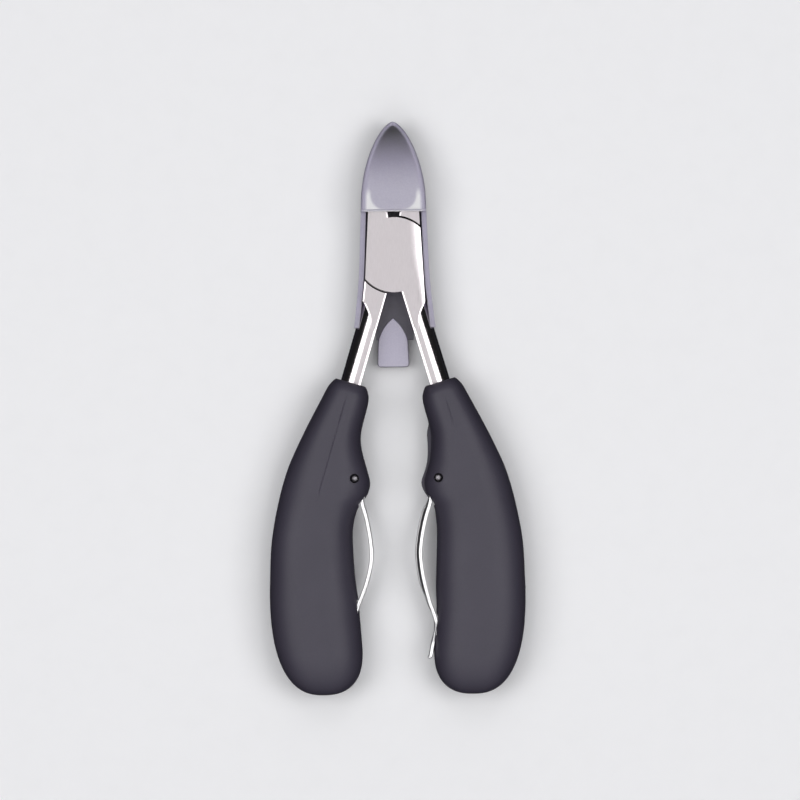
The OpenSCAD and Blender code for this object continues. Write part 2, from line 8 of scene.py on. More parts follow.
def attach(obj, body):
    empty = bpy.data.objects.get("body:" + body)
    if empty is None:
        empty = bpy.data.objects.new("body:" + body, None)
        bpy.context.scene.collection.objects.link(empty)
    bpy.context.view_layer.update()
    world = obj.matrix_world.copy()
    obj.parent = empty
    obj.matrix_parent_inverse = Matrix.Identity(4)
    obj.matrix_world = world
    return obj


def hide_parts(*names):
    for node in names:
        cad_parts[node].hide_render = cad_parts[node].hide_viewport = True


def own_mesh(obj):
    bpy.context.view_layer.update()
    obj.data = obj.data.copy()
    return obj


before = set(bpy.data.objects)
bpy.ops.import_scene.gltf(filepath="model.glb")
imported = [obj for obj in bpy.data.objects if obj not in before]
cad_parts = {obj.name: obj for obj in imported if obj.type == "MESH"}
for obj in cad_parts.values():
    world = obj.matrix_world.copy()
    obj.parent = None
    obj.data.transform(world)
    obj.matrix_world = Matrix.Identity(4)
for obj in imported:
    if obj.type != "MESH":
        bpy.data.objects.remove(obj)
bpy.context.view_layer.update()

# Sizes are in millimetres around the pivot: x across, d down the handles (y = -d), z up.
PIVOT = Vector((0.0, 37.39, 6.8))
MM = 0.001


# Shapes by formula

def mix(a, b, f):
    return a + (b - a) * f


def bound(v):
    return max(0.0, min(1.0, v))


def ease(v):
    v = bound(v)
    return v * v * (3 - 2 * v)


def window(d, low, high, soft):
    """1 between low and high, falling softly to 0 outside."""
    return ease((d - low) / soft + 1) * ease((high - d) / soft + 1)


def along(pairs, p):
    """Smooth curve through (position, value) pairs."""
    last = len(pairs) - 1
    i = 0
    while i < last - 1 and p >= pairs[i + 1][0]:
        i += 1

    def slope(k):
        a, b = pairs[max(k - 1, 0)], pairs[min(k + 1, last)]
        return (b[1] - a[1]) / (b[0] - a[0])

    h = pairs[i + 1][0] - pairs[i][0]
    u = (p - pairs[i][0]) / h
    return ((2 * u**3 - 3 * u**2 + 1) * pairs[i][1] + (u**3 - 2 * u**2 + u) * slope(i) * h
            + (3 * u**2 - 2 * u**3) * pairs[i + 1][1] + (u**3 - u**2) * slope(i + 1) * h)


# Mesh building

def solid(verts, faces):
    """Object in the working frame from points and faces, with its faces turned outward."""
    mesh = bpy.data.meshes.new("solid")
    mesh.from_pydata([tuple(v) for v in verts], [], faces)
    work = bmesh.new()
    work.from_mesh(mesh)
    bmesh.ops.recalc_face_normals(work, faces=work.faces)
    if work.calc_volume(signed=True) < 0:
        bmesh.ops.reverse_faces(work, faces=work.faces)
    work.to_mesh(mesh)
    work.free()
    obj = bpy.data.objects.new("solid", mesh)
    bpy.context.scene.collection.objects.link(obj)
    return obj


def loft(rings):
    """Closed solid over rings of points, each ring in order around the solid."""
    n = len(rings[0])
    last = (len(rings) - 1) * n
    faces = [[i * n + k, i * n + (k + 1) % n, (i + 1) * n + (k + 1) % n, (i + 1) * n + k]
             for i in range(len(rings) - 1) for k in range(n)]
    faces += [list(range(n)), list(range(last, last + n))]
    return solid([p for ring in rings for p in ring], faces)


def lathe(profile, at, turn=None, count=48):
    """Solid of revolution over (radius, height) pairs, set at a point and turned by a matrix."""
    rings = [[Vector((r * math.cos(2 * math.pi * k / count), r * math.sin(2 * math.pi * k / count), z))
              for k in range(count)] for r, z in profile]
    turn = turn or Matrix.Identity(3)
    return loft([[turn @ p + Vector(at) for p in ring] for ring in rings])


def inset(outline, amounts):
    """Closed outline moved inward, each edge by its own amount. Edge i runs from point i."""
    nearly_straight = 0.05
    points = [Vector(p) for p in outline]
    count = len(points)
    normals = []
    for i, p in enumerate(points):
        run = (points[(i + 1) % count] - p).normalized()
        normals.append(Vector((-run.y, run.x)))
    moved = []
    for i, p in enumerate(points):
        a, b = normals[i - 1], normals[i]
        cross = a.x * b.y - a.y * b.x
        if abs(cross) < nearly_straight:
            moved.append(p + (a + b).normalized() * max(amounts[i - 1], amounts[i]))
        else:
            ca, cb = amounts[i - 1], amounts[i]
            moved.append(p + Vector(((ca * b.y - cb * a.y) / cross, (a.x * cb - b.x * ca) / cross)))
    return moved


def oblong(left, low, right, high):
    """Outline of a rectangle, counterclockwise."""
    return [(left, low), (right, low), (right, high), (left, high)]


def prism(outline, low, high, bevels=None, drop=0.0):
    """Upright prism over a counterclockwise outline; each edge may have a bevel of its own width."""
    if bevels is None:
        return loft([[(x, y, z) for x, y in outline] for z in (low, high)])
    small = inset(outline, bevels)
    levels = ((small, low), (outline, low + drop), (outline, high - drop), (small, high))
    return loft([[(x, y, z) for x, y in ring] for ring, z in levels])


def applied(obj):
    """Obj with its modifiers worked into its mesh."""
    mesh = bpy.data.meshes.new_from_object(obj.evaluated_get(bpy.context.evaluated_depsgraph_get()))
    obj.modifiers.clear()
    obj.data = mesh
    return obj


def in_triangles(obj):
    """Splits faces into triangles, so that a cut leaves no face with a hole in it."""
    work = bmesh.new()
    work.from_mesh(obj.data)
    bmesh.ops.triangulate(work, faces=work.faces)
    work.to_mesh(obj.data)
    work.free()


def combine(obj, tool, how):
    """Cuts or joins obj with tool and removes the tool."""
    in_triangles(obj)
    in_triangles(tool)
    step = obj.modifiers.new("step", "BOOLEAN")
    step.operation = how
    step.solver = "MANIFOLD"
    step.object = tool
    applied(obj)
    bpy.data.objects.remove(tool)
    return obj


def cut(obj, *tools):
    for tool in tools:
        combine(obj, tool, "DIFFERENCE")
    return obj


def join(obj, *others):
    for other in others:
        combine(obj, other, "UNION")
    return obj


def turned(obj, matrix):
    """Obj with its mesh moved by a matrix; a mirrored mesh has its faces turned back."""
    obj.data.transform(matrix)
    if matrix.determinant() < 0:
        obj.data.flip_normals()
    return obj


MIRROR = Matrix.Diagonal((-1, 1, 1, 1))
BACK = Matrix.Diagonal((1, 1, -1, 1))
TURN = Matrix.Diagonal((-1, 1, -1, 1))


def piece(obj, name, body, finish, sharp=30):
    """Places a finished solid in the part's frame as the visible form of the node of that name."""
    obj.data.transform(Matrix.Diagonal((MM, MM, MM, 1)) @ Matrix.Translation(PIVOT))
    obj.name = obj.data.name = name + "_visual"
    obj.data.materials.clear()
    obj.data.materials.append(finish)
    obj.data.polygons.foreach_set("use_smooth", [True] * len(obj.data.polygons))
    obj.data.set_sharp_from_angle(angle=math.radians(sharp))
    flats = obj.modifiers.new("flats_stay_flat", "WEIGHTED_NORMAL")
    flats.keep_sharp = True
    applied(obj)
    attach(obj, body)
    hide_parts(name)
    return obj


# Materials

def linear(code):
    """Linear colour of an sRGB hex code."""
    parts = [int(code[i:i + 2], 16) / 255 for i in (1, 3, 5)]
    return tuple(p / 12.92 if p <= 0.04045 else ((p + 0.055) / 1.055) ** 2.4 for p in parts) + (1.0,)


def add(tree, kind, props, sockets):
    """Adds a node, sets its properties and fills or links its inputs."""
    node = tree.nodes.new("ShaderNode" + kind)
    for key, value in props.items():
        setattr(node, key, value)
    for key, value in sockets.items():
        if isinstance(value, bpy.types.NodeSocket):
            tree.links.new(value, node.inputs[key])
        else:
            node.inputs[key].default_value = value
    return node


def surface(name):
    """New material with its node tree, its surface shader and its object coordinates."""
    material = bpy.data.materials.new(name)
    material.use_nodes = True
    tree = material.node_tree
    shader = tree.nodes["Principled BSDF"]
    return material, tree, shader, add(tree, "TexCoord", {}, {})


def per_mm(size):
    """Texture scale that gives features of about this many millimetres."""
    return 1 / (size * MM)


def fill(shader, **values):
    for key, value in values.items():
        shader.inputs[key.replace("_", " ")].default_value = value


# The middle range of a noise, where most of its values lie
MIDDLE = {"From Min": 0.3, "From Max": 0.7}


def plain_metal(name, grain, detail, roughness, tones):
    """Metal whose roughness and tone vary together, in a grain of about this many millimetres."""
    material, tree, shader, coord = surface(name)
    fill(shader, Metallic=1.0)
    cloud = add(tree, "TexNoise", {}, {"Vector": coord.outputs["Object"], "Scale": per_mm(grain),
                                       "Detail": detail})
    rough = add(tree, "MapRange", {}, {"Value": cloud.outputs["Fac"], **MIDDLE,
                                       "To Min": roughness[0], "To Max": roughness[1]})
    tree.links.new(rough.outputs[0], shader.inputs["Roughness"])
    tint = add(tree, "ValToRGB", {}, {"Fac": cloud.outputs["Fac"]})
    tint.color_ramp.elements[0].color = linear(tones[0])
    tint.color_ramp.elements[1].color = linear(tones[1])
    tree.links.new(tint.outputs["Color"], shader.inputs["Base Color"])
    return material


# Forged stainless steel: the flat faces and the jaws are belt-ground satin, the rest is tumble-polished.
# Grinding leaves faint lines along the tool that break the reflection on the flats.
# They are drawn coarser than real belt lines (about 0.02 mm), so that they can be seen.
POLISHED, SATIN_FLAT, SATIN_JAW = 0.13, 0.32, 0.42
LINE_W, LINE_L = 0.12, 1.6
# From the part's origin toward the point
JAW_FINISH_START, JAW_FINISH_FULL = 48.4, 49.4
forged_steel, tree, shader, coord = surface("forged_stainless_ground_and_polished")
fill(shader, Metallic=1.0)
grain = add(tree, "Mapping", {}, {"Vector": coord.outputs["Object"],
                                  "Scale": (per_mm(LINE_W), per_mm(LINE_L), per_mm(LINE_W))})
lines = add(tree, "TexNoise", {}, {"Vector": grain.outputs["Vector"], "Scale": 1.0, "Detail": 2.0})
facing = add(tree, "SeparateXYZ", {}, {"Vector": coord.outputs["Normal"]})
level = add(tree, "Math", {"operation": "ABSOLUTE"}, {0: facing.outputs["Z"]})
flat = add(tree, "MapRange", {}, {"Value": level.outputs[0], "From Min": 0.95, "From Max": 0.999,
                                  "To Min": POLISHED, "To Max": SATIN_FLAT})
place = add(tree, "SeparateXYZ", {}, {"Vector": coord.outputs["Object"]})
jaws = add(tree, "MapRange", {}, {"Value": place.outputs["Y"], "From Min": JAW_FINISH_START * MM,
                                  "From Max": JAW_FINISH_FULL * MM, "To Min": 0.0, "To Max": SATIN_JAW})
ground = add(tree, "Math", {"operation": "MAXIMUM"}, {0: flat.outputs[0], 1: jaws.outputs[0]})
scratches = add(tree, "MapRange", {}, {"Value": lines.outputs["Fac"], **MIDDLE,
                                       "To Min": -0.03, "To Max": 0.03})
total = add(tree, "Math", {"operation": "ADD"}, {0: ground.outputs[0], 1: scratches.outputs[0]})
tree.links.new(total.outputs[0], shader.inputs["Roughness"])
tint = add(tree, "ValToRGB", {}, {"Fac": lines.outputs["Fac"]})
tint.color_ramp.elements[0].color = linear("#cdc6c9")
tint.color_ramp.elements[1].color = linear("#dcd6d9")
tree.links.new(tint.outputs["Color"], shader.inputs["Base Color"])

# Rolled spring steel: bright, with a soft sheen and a faint unevenness along the strip.
spring_steel = plain_metal("spring_steel_bright_rolled", 1.5, 3.0, (0.3, 0.38), ("#e3e2e4", "#f2f1f2"))

# Cold-drawn pin steel with sheared ends: rougher than the forged halves, and a dull grey that is partly the
# drawn steel's own and partly painted shade of the deep hole it sits in.
pin_steel = plain_metal("pin_steel_drawn_painted_hole_shade", 0.3, 2.0, (0.4, 0.55), ("#8f8c91", "#aca9ae"))

# Moulded grips with a soft-touch coat: dull black, a fine pebble from the mould's spark-eroded face.
grip_coat, tree, shader, coord = surface("grip_moulded_soft_touch_coat")
fill(shader, Specular_IOR_Level=0.6)
pebble = add(tree, "TexNoise", {}, {"Vector": coord.outputs["Object"], "Scale": per_mm(0.3), "Detail": 2.0})
broad = add(tree, "TexNoise", {}, {"Vector": coord.outputs["Object"], "Scale": per_mm(9), "Detail": 2.0})
tint = add(tree, "ValToRGB", {}, {"Fac": broad.outputs["Fac"]})
tint.color_ramp.elements[0].color = linear("#393543")
tint.color_ramp.elements[1].color = linear("#403c4a")
tree.links.new(tint.outputs["Color"], shader.inputs["Base Color"])
rough = add(tree, "MapRange", {}, {"Value": pebble.outputs["Fac"], **MIDDLE, "To Min": 0.5, "To Max": 0.62})
tree.links.new(rough.outputs[0], shader.inputs["Roughness"])
bump = add(tree, "Bump", {}, {"Height": pebble.outputs["Fac"], "Strength": 0.12, "Distance": 0.02 * MM})
tree.links.new(bump.outputs["Normal"], shader.inputs["Normal"])

# Moulded polypropylene with a sand-blasted mould face: milky, it passes light but blurs what is behind.
# The thin skin passes more light than the walls. Over the jaws' lands it is painted paler and made less
# clear, a painted reflection of the lit steel behind it; the thick tongue is paler too.
frosted, tree, shader, coord = surface("polypropylene_moulded_frosted")
fill(shader, IOR=1.49, Subsurface_Weight=0.6, Subsurface_Scale=2 * MM, Subsurface_Radius=(1.0, 1.0, 1.0))
skin = add(tree, "Attribute", {"attribute_name": "thin_skin"}, {}).outputs["Fac"]
# Painted reflection: the cover is paler and less clear over the jaws' lands; the thick tongue is paler too.
lands_and_tongue_painted_pale = add(tree, "Attribute", {"attribute_name": "painted_lands_and_thick_tongue"}, {}).outputs["Fac"]
clear = add(tree, "MapRange", {}, {"Value": skin, "To Min": 0.1, "To Max": 0.95})
closed = add(tree, "MapRange", {}, {"Value": lands_and_tongue_painted_pale, "To Min": 1.0, "To Max": 0.4})
passing = add(tree, "Math", {"operation": "MULTIPLY"}, {0: clear.outputs[0], 1: closed.outputs[0]})
tree.links.new(passing.outputs[0], shader.inputs["Transmission Weight"])
frost = add(tree, "TexNoise", {}, {"Vector": coord.outputs["Object"], "Scale": per_mm(0.4), "Detail": 3.0})
cloud = add(tree, "MapRange", {}, {"Value": frost.outputs["Fac"], **MIDDLE, "To Min": 0.27, "To Max": 0.33})
milk = add(tree, "Math", {"operation": "MULTIPLY_ADD"}, {0: skin, 1: -0.3, 2: cloud.outputs[0]})
pale = add(tree, "Math", {"operation": "MULTIPLY_ADD"}, {0: lands_and_tongue_painted_pale, 1: 0.6, 2: milk.outputs[0]})
tint = add(tree, "ValToRGB", {}, {"Fac": pale.outputs[0]})
tint.color_ramp.elements[0].color = linear("#94909f")
tint.color_ramp.elements[1].position = 0.9
tint.color_ramp.elements[1].color = linear("#fbfaff")
tint.color_ramp.elements.new(0.3).color = linear("#b6b1c6")
tree.links.new(tint.outputs["Color"], shader.inputs["Base Color"])
rough = add(tree, "MapRange", {}, {"Value": frost.outputs["Fac"], **MIDDLE, "To Min": 0.34, "To Max": 0.42})
tree.links.new(rough.outputs[0], shader.inputs["Roughness"])


# Shanks and joint

LEAN_ANGLE = math.radians(16.6)
LEAN = math.tan(LEAN_ANGLE)
# The rear half's swing in degrees, and half of the jaws' opening
SWING, HALF_OPEN = 9.4, math.radians(4.75)
# Half thickness, radius of the lap's recess, gap round the plate in it, and height of the lap's faces
HALF_T, LAP_R, LAP_GAP, LAP_Z = 2.7, 9.6, 0.42, 0.05
# Half-width at the pivot, and how much it grows with each millimetre toward the handles
JOINT_HALF_W, JOINT_SPREAD = 6.82, 0.0545
ROOT_TOP, ROOT_START, ROOT_END, ROOT_FLARE = 4.8, 11.3, 18.0, 0.3
SHANK_OFFSET, SHANK_R, STRIP_W = 1.66, 2.45, 1.65
SHANK_HALF_W = SHANK_R / math.cos(LEAN_ANGLE)
COLLAR_D, TANG_R, TANG_END = 31.0, 2.2, 60.0
JAW_START, JAW_ROOT, JAW_TIP, THROAT = 6.4, 11.2, 26.3, 0.75
JAW_BACK, TIP_BACK, TIP_HALF_T, TAPER_Y = 5.6, 0.5, 1.0, 12.0
# Bevels of the joint's edges, of the plate's round edges and far side, and of the shanks' inner edges
EDGE_W, SIDE_W, EDGE_DROP = 0.3, 0.06, 0.1
SHANK_EDGE_W, SHANK_EDGE_DROP, SHANK_EDGE_RUN = 0.5, 0.2, 6.0
ROUND_NARROW, ROUND_BROAD, ROUND_START, ROUND_RUN = 1.2, 2.9, -12.0, 14.0
FILLET_Z, SIDE_LOW = -1.4, -6.0
# How far the shanks' and the jaws' faces lie under the joint's
SHANK_SUNK, JAW_SUNK = 0.008, 0.03
# Room between pieces that fit, a step that keeps faces out of one plane, and a length beyond the joint
FIT, HAIR, FAR = 0.04, 0.003, 20.0
ARC_STEPS = 40


def shank_x(d):
    return SHANK_OFFSET + LEAN * d


def shank_inner(d):
    return shank_x(d) - SHANK_HALF_W


def joint_side(y):
    return JOINT_HALF_W - JOINT_SPREAD * y


def circle_cross(a, b, upper):
    """Crossing of a line with the plate's round edge, the upper or the lower one."""
    far = [Vector(a) + (Vector(b) - Vector(a)) * t for t in (-9, 9)]
    hits = intersect_line_sphere_2d(far[0], far[1], (0, 0), LAP_R - LAP_GAP, False)
    return sorted(hits, key=lambda p: p.y)[1 if upper else 0]


def arc(start, end):
    """Points of the plate's round edge between two of its points, counterclockwise, without the last."""
    a, b = math.atan2(start[1], start[0]), math.atan2(end[1], end[0])
    b += 2 * math.pi if b < a else 0
    r = LAP_R - LAP_GAP
    return [(r * math.cos(t), r * math.sin(t)) for t in [mix(a, b, k / ARC_STEPS) for k in range(ARC_STEPS)]]


def root_edge(flare):
    """Outer edge of the broad face: it runs in to the narrow ground strip of the shank in an S."""
    line = [(ROOT_START, joint_side(-ROOT_START) + flare), (12.0, 7.25), (13.3, 6.66), (14.4, 6.26),
            (15.6, 6.03), (16.8, 6.04), (ROOT_END, shank_inner(ROOT_END) + STRIP_W)]
    return [(along(line, d), -d) for d in [mix(ROOT_END, ROOT_START, k / 24) for k in range(25)]]


def joint_outline(swing):
    """Plan of one half's joint: plate, jaw root and shank root, with the bevel of each edge.
    The half that swings is also cut back to the joint's sides as they are when it has swung."""
    turn = Matrix.Rotation(math.radians(swing), 2)
    right = [Vector((joint_side(y), y)) for y in (-FAR, FAR)]
    left = [Vector((-p.x, p.y)) for p in right]
    clip_right, clip_left = [turn @ p for p in right], [turn @ p for p in left]
    mouth = [(-THROAT, ROOT_TOP), (-JAW_ROOT * math.sin(HALF_OPEN) - THROAT, JAW_ROOT)]
    fork = [(shank_inner(d) + HAIR, -d) for d in (ROOT_TOP, ROOT_END)]
    top_right = circle_cross(*(clip_right if swing else right), True)
    top_left = circle_cross(*mouth, True)
    low_left = circle_cross(*(clip_left if swing else left), False)
    low_right = circle_cross(*fork, False)
    outline = root_edge(ROOT_FLARE if swing else 0.0)
    if swing:
        outline += [(joint_side(SIDE_LOW), SIDE_LOW), intersect_line_line_2d(*right, *clip_right)]
    top_at = len(outline)
    outline += arc(top_right, top_left) + [top_left, mouth[1], (-joint_side(JAW_ROOT), JAW_ROOT)]
    side_at = len(outline) - 1
    if swing:
        outline.append(intersect_line_line_2d(*left, *clip_left))
    outline += arc(low_left, low_right) + [low_right, fork[1]]
    bevels = [EDGE_W] * (len(outline) - 1) + [0.0]
    for i in list(range(top_at, top_at + ARC_STEPS)) + list(range(side_at, len(outline) - 2)):
        bevels[i] = SIDE_W
    return [tuple(p) for p in outline], bevels


def shank_ring(d, grow=0.0):
    """Section of a shank: bevelled inner edge, narrow ground strip, then a round to the outer side."""
    part = bound((d - ROOT_END) / (COLLAR_D - ROOT_END))
    half_h = mix(HALF_T - SHANK_SUNK, SHANK_R, part) + grow
    low, high = shank_inner(d) - grow, shank_x(d) + SHANK_HALF_W + grow
    run = bound((d - LAP_R) / SHANK_EDGE_RUN)
    in_w, in_h = mix(EDGE_W, SHANK_EDGE_W, run), mix(EDGE_DROP, SHANK_EDGE_DROP, run)
    out_w, out_h = high - low - STRIP_W, half_h - 0.1
    steps = [math.radians(90 * k / 30) for k in range(31)]
    top = [(high - out_w * (1 - math.cos(a)), half_h - out_h * (1 - (1 - math.cos(a) ** 1.5) ** 0.6))
           for a in steps]
    top += [(low + in_w, half_h), (low, half_h - in_h)]
    return [(x, -d, z) for x, z in top] + [(x, -d, -z) for x, z in reversed(top)]


def shank(from_d, to_d, grow=0.0):
    return loft([shank_ring(mix(from_d, to_d, k / 36), grow) for k in range(37)])


def tang(radius, to_d):
    """Straight round rod along the tang's line, from the collar down."""
    turn = Matrix.Rotation(LEAN_ANGLE, 3, "Z") @ Matrix.Rotation(math.radians(90), 3, "X")
    long = (to_d - COLLAR_D) / math.cos(LEAN_ANGLE)
    return lathe([(radius, 0), (radius, long)], (shank_x(COLLAR_D), -COLLAR_D, 0), turn, 40)


def jaw_ring(y):
    """Section of the left jaw: scooped from a narrow land down to the cutting edge, round at the back."""
    edge, edge_land, back_r, back_land = 0.03, 0.25, 0.4, 1.2
    full_t = HALF_T - JAW_SUNK
    back = mix(JAW_BACK, TIP_BACK, bound((y - LAP_R) / (JAW_TIP - LAP_R)) ** 1.6)
    half_h = full_t if y < TAPER_Y else mix(full_t, TIP_HALF_T, (y - TAPER_Y) / (JAW_TIP + 1 - TAPER_Y))
    sharp = ease((y - JAW_ROOT) / 2.2)
    front = mix(THROAT, edge, sharp)
    land = mix(half_h - 0.05, edge_land, sharp)
    r = min(back_r, back / 4)
    top = mix(front + 0.05, max(back - back_land, front + 0.08), bound((y - JAW_ROOT - 0.4) / 2.2) ** 0.4)
    side = [(-front, land), (-min(top, back - r - 0.02), half_h), (-back + r, half_h), (-back, half_h - r)]
    return [(x, y, z) for x, z in side] + [(x, y, -z) for x, z in reversed(side)]


def side_round():
    """What is ground off the plate's edge above its shank: a soft round that narrows to the shoulder."""
    rings = []
    for y in [mix(-FAR, FAR, k / 40) for k in range(41)]:
        wide = mix(ROUND_NARROW, ROUND_BROAD, ease((y - ROUND_START) / ROUND_RUN))
        low = joint_side(y) - wide
        curve = [(low + wide * u, HALF_T - wide * u * u / 8) for u in [k / 10 for k in range(12)]]
        rings.append([(x, y, z) for x, z in curve + [(low + 2 * wide, HALF_T + 1), (low, HALF_T + 1)]])
    return loft(rings)


def recess():
    """What a half leaves free for the other's plate; a steep fillet fills the corner beyond the gap."""
    profile = [(LAP_R, -FAR), (LAP_R, FILLET_Z), (LAP_R - LAP_GAP + FIT, LAP_Z)]
    return lathe(profile, (0, 0, 0), count=120)


def forged_half(swing):
    """Left jaw, joint plate, right shank and tang, in the front half's position."""
    outline, bevels = joint_outline(swing)
    body = prism(outline, -HALF_T, HALF_T, bevels, EDGE_DROP)
    jaw = loft([jaw_ring(mix(JAW_START, JAW_TIP, k / 40)) for k in range(41)])
    join(body, turned(jaw, Matrix.Rotation(HALF_OPEN, 4, "Z")))
    cut(body, recess(), side_round())
    return join(body, shank(LAP_R + 0.5, COLLAR_D + 2), tang(TANG_R, TANG_END))


THREAD_R, THREAD_TOP, SHAFT_R = 1.7, 1.95, 2.3
HEAD_R, HEAD_TOP, HEAD_CHAMFER, THREAD_CHAMFER = 4.0, -1.5, 0.15, 0.2
SCREW_SLOT_W, SCREW_SLOT_TOP = 1.0, -2.1

front_half = forged_half(0)
cut(front_half, lathe([(THREAD_R + FIT, -0.01), (THREAD_R + FIT, THREAD_TOP + FIT)], (0, 0, 0)))
piece(front_half, "front_half", "front", forged_steel, 12)
rear_half = turned(forged_half(SWING), TURN)
cut(rear_half, lathe([(HEAD_R + FIT, -FAR), (HEAD_R + FIT, HEAD_TOP + FIT), (SHAFT_R + FIT, HEAD_TOP + FIT),
                      (SHAFT_R + FIT, FAR)], (0, 0, 0)))
piece(rear_half, "rear_half", "rear", forged_steel, 12)

screw = lathe([(HEAD_R - HEAD_CHAMFER, -HALF_T), (HEAD_R, HEAD_CHAMFER - HALF_T), (HEAD_R, HEAD_TOP),
               (SHAFT_R, HEAD_TOP), (SHAFT_R, LAP_Z), (THREAD_R, LAP_Z),
               (THREAD_R, THREAD_TOP - THREAD_CHAMFER), (THREAD_R - THREAD_CHAMFER, THREAD_TOP)],
              (0, 0, 0), count=72)
cut(screw, prism(oblong(-FAR, -SCREW_SLOT_W / 2, FAR, SCREW_SLOT_W / 2), -FAR, SCREW_SLOT_TOP))
piece(screw, "pivot_screw", "front", forged_steel)


# Grips: _D is down the handle, _IN and _OUT are sideways

NECK_IN, NECK_OUT, NECK_L, FLARE = 6.6, 17.0, 3.2, 1.8
COLLAR_LIP, COLLAR_ROUND = 0.9, 2.6
BUMP_D, BUMP_IN, HOLLOW_D, HOLLOW_IN = 55.2, 6.45, 69.5, 10.35
HEEL_D, HEEL_IN, SHOULDER_D, SHOULDER_OUT = 96.5, 8.7, 50.5, 25.7
BELLY_D, BELLY_OUT, END_D, END_X = 81.5, 31.2, 107.18, 18.3
BELLY_T, REST_Z, WALL = 7.3, 6.8, 3.2
PARTING_BEVEL, HAIRLINE_W, HAIRLINE_D = 0.1, 0.13, 36.0
PIN_X, PIN_D, PIN_L, PIN_R = 10.2, 54.3, 5.2, 0.8
EYE_ROOM_R, EYE_ROOM_Z, SINK_R, SINK_Z = 1.95, 2.6, 1.15, 3.7
INNER = [(COLLAR_D, NECK_IN), (COLLAR_D + NECK_L, NECK_IN), (44.2, 8.6)]
INNER += [(mix(BUMP_D, HOLLOW_D, a), mix(BUMP_IN, HOLLOW_IN, b))
          for a, b in ((0, 0), (0.15, 0.09), (0.475, 0.77), (1, 1))] + [(HEEL_D, HEEL_IN)]
OUTER = [(COLLAR_D, NECK_OUT - FLARE), (COLLAR_D + NECK_L, NECK_OUT)]
OUTER += [(mix(SHOULDER_D, BELLY_D, a), mix(SHOULDER_OUT, BELLY_OUT, b))
          for a, b in ((0, 0), (0.22, 0.45), (0.61, 0.885), (1, 1))]
THICK = [(COLLAR_D, 6.7), (COLLAR_D + 2 * COLLAR_ROUND, 7.1), (mix(BUMP_D, HOLLOW_D, 0.44), BELLY_T),
         (mix(BELLY_D, HEEL_D, 0.2), BELLY_T), (HEEL_D, 6.9)]


def fade_out(d, start):
    return (1 - bound((d - start) / (END_D - start)) ** 2.5) ** 0.4


def grip_in(d):
    return along(INNER, d) if d < HEEL_D else mix(END_X, HEEL_IN, fade_out(d, HEEL_D))


def grip_out(d):
    return along(OUTER, d) if d < BELLY_D else mix(END_X, BELLY_OUT, fade_out(d, BELLY_D))


def grip_half_t(d):
    return along(THICK, min(d, HEEL_D)) * fade_out(d, mix(BELLY_D, HEEL_D, 0.87))


def grip_tilt(d):
    return LEAN * bound((BUMP_D - d) / (BUMP_D - COLLAR_D))


def grip_point(d, x, z):
    return (x, -d + grip_tilt(d) * (x - shank_x(d)), z)


def crowned(v):
    """Height of a grip's section, from 0 at its edges (v = -1 and 1) to 1 in its middle."""
    return math.sqrt(1 - abs(v) ** 3)


def grip_ring(d, lip, sink, sink_end, top):
    """Upper half of a grip's section, with a small bevel at the parting line and a hairline over the tang.
    The lip is how far its inner edge stands out, in pairs down the handle."""
    swell = math.sqrt(1 - (1 - bound((d - COLLAR_D) / COLLAR_ROUND)) ** 2)
    rim = SHANK_R + COLLAR_LIP
    low = mix(shank_x(d) - rim, grip_in(d), swell) - (along(lip, d) if lip[0][0] < d < lip[-1][0] else 0.0)
    high = mix(shank_x(d) + rim, grip_out(d), swell)
    half_t = mix(rim, grip_half_t(d), swell)
    bevel = min(PARTING_BEVEL, (high - low) / 8)
    seam = max(mix(low, high, 0.3), min(shank_x(d), mix(low, high, 0.7)))
    fine = 0.1 * min(1, (high - low) / 4)
    across = [mix(low, high, (1 + math.sin(math.radians(180 * k / 64 - 90))) / 2) for k in range(1, 64)]
    across += [seam + fine * k for k in (-4, -2, -1, 0, 1, 2, 4)]
    points = [grip_point(d, low + bevel, 0), grip_point(d, low, bevel)]
    for x in sorted(across):
        line = (x - shank_x(d)) / HAIRLINE_W
        z = half_t * crowned(2 * (x - low) / (high - low) - 1)
        z -= sink * math.exp(-line * line) * window(d, HAIRLINE_D, sink_end, 3)
        points.append(grip_point(d, x, max(min(z, top), bevel * 1.01)))
    return points + [grip_point(d, high, bevel), grip_point(d, high - bevel, 0)]


def cavity_ring(d):
    low, high, half_t = grip_in(d) + WALL, grip_out(d) - WALL, grip_half_t(d) - WALL
    ring = [grip_point(d, low, -1)]
    for v in [math.sin(math.radians(180 * k / 16 - 90)) for k in range(17)]:
        ring.append(grip_point(d, mix(low, high, (1 + v) / 2), half_t * crowned(v)))
    return ring + [grip_point(d, high, -1)]


def band(line, low, high, from_d, to_d, half_z):
    """Upright block along a spring's line, between two sideways distances from it."""
    spots = [mix(from_d, to_d, k / 24) for k in range(25)]
    outline = [(along(line, d) + low, -d) for d in reversed(spots)]
    outline += [(along(line, d) + high, -d) for d in spots]
    return prism(outline[::-1], -half_z, half_z)


# Springs

LEAF_T, LEAF_W, LEAF_R, EYE_R, BEAD_R, BEAD_OUT = 0.95, 4.6, 0.3, 1.42, 0.26, 0.04
CROWN_D, CROWN_LEFT, CROWN_RIGHT = 73.0, 6.25, 5.65
EXIT_D, EXIT_RIGHT_OUT = 60.1, 0.3
SEAT_LEFT, SEAT_RIGHT = 85.0, 89.0
LEFT_END, LEFT_END_IN = 92.0, 2.2
RIGHT_END, RIGHT_END_X, RIGHT_LEAN, RIGHT_ROLL = 97.6, 7.95, 0.5, 0.3
NECK_D, NECK_RUN, NECK_THINNER, NECK_NARROWER = 92.1, 2.4, 0.5, 0.42
# Where a leaf leans and where it shows its bead: from, to and how softly
LEAN_SPAN, BEAD_SPAN = (63.5, 80, 4), (62, 84, 4)


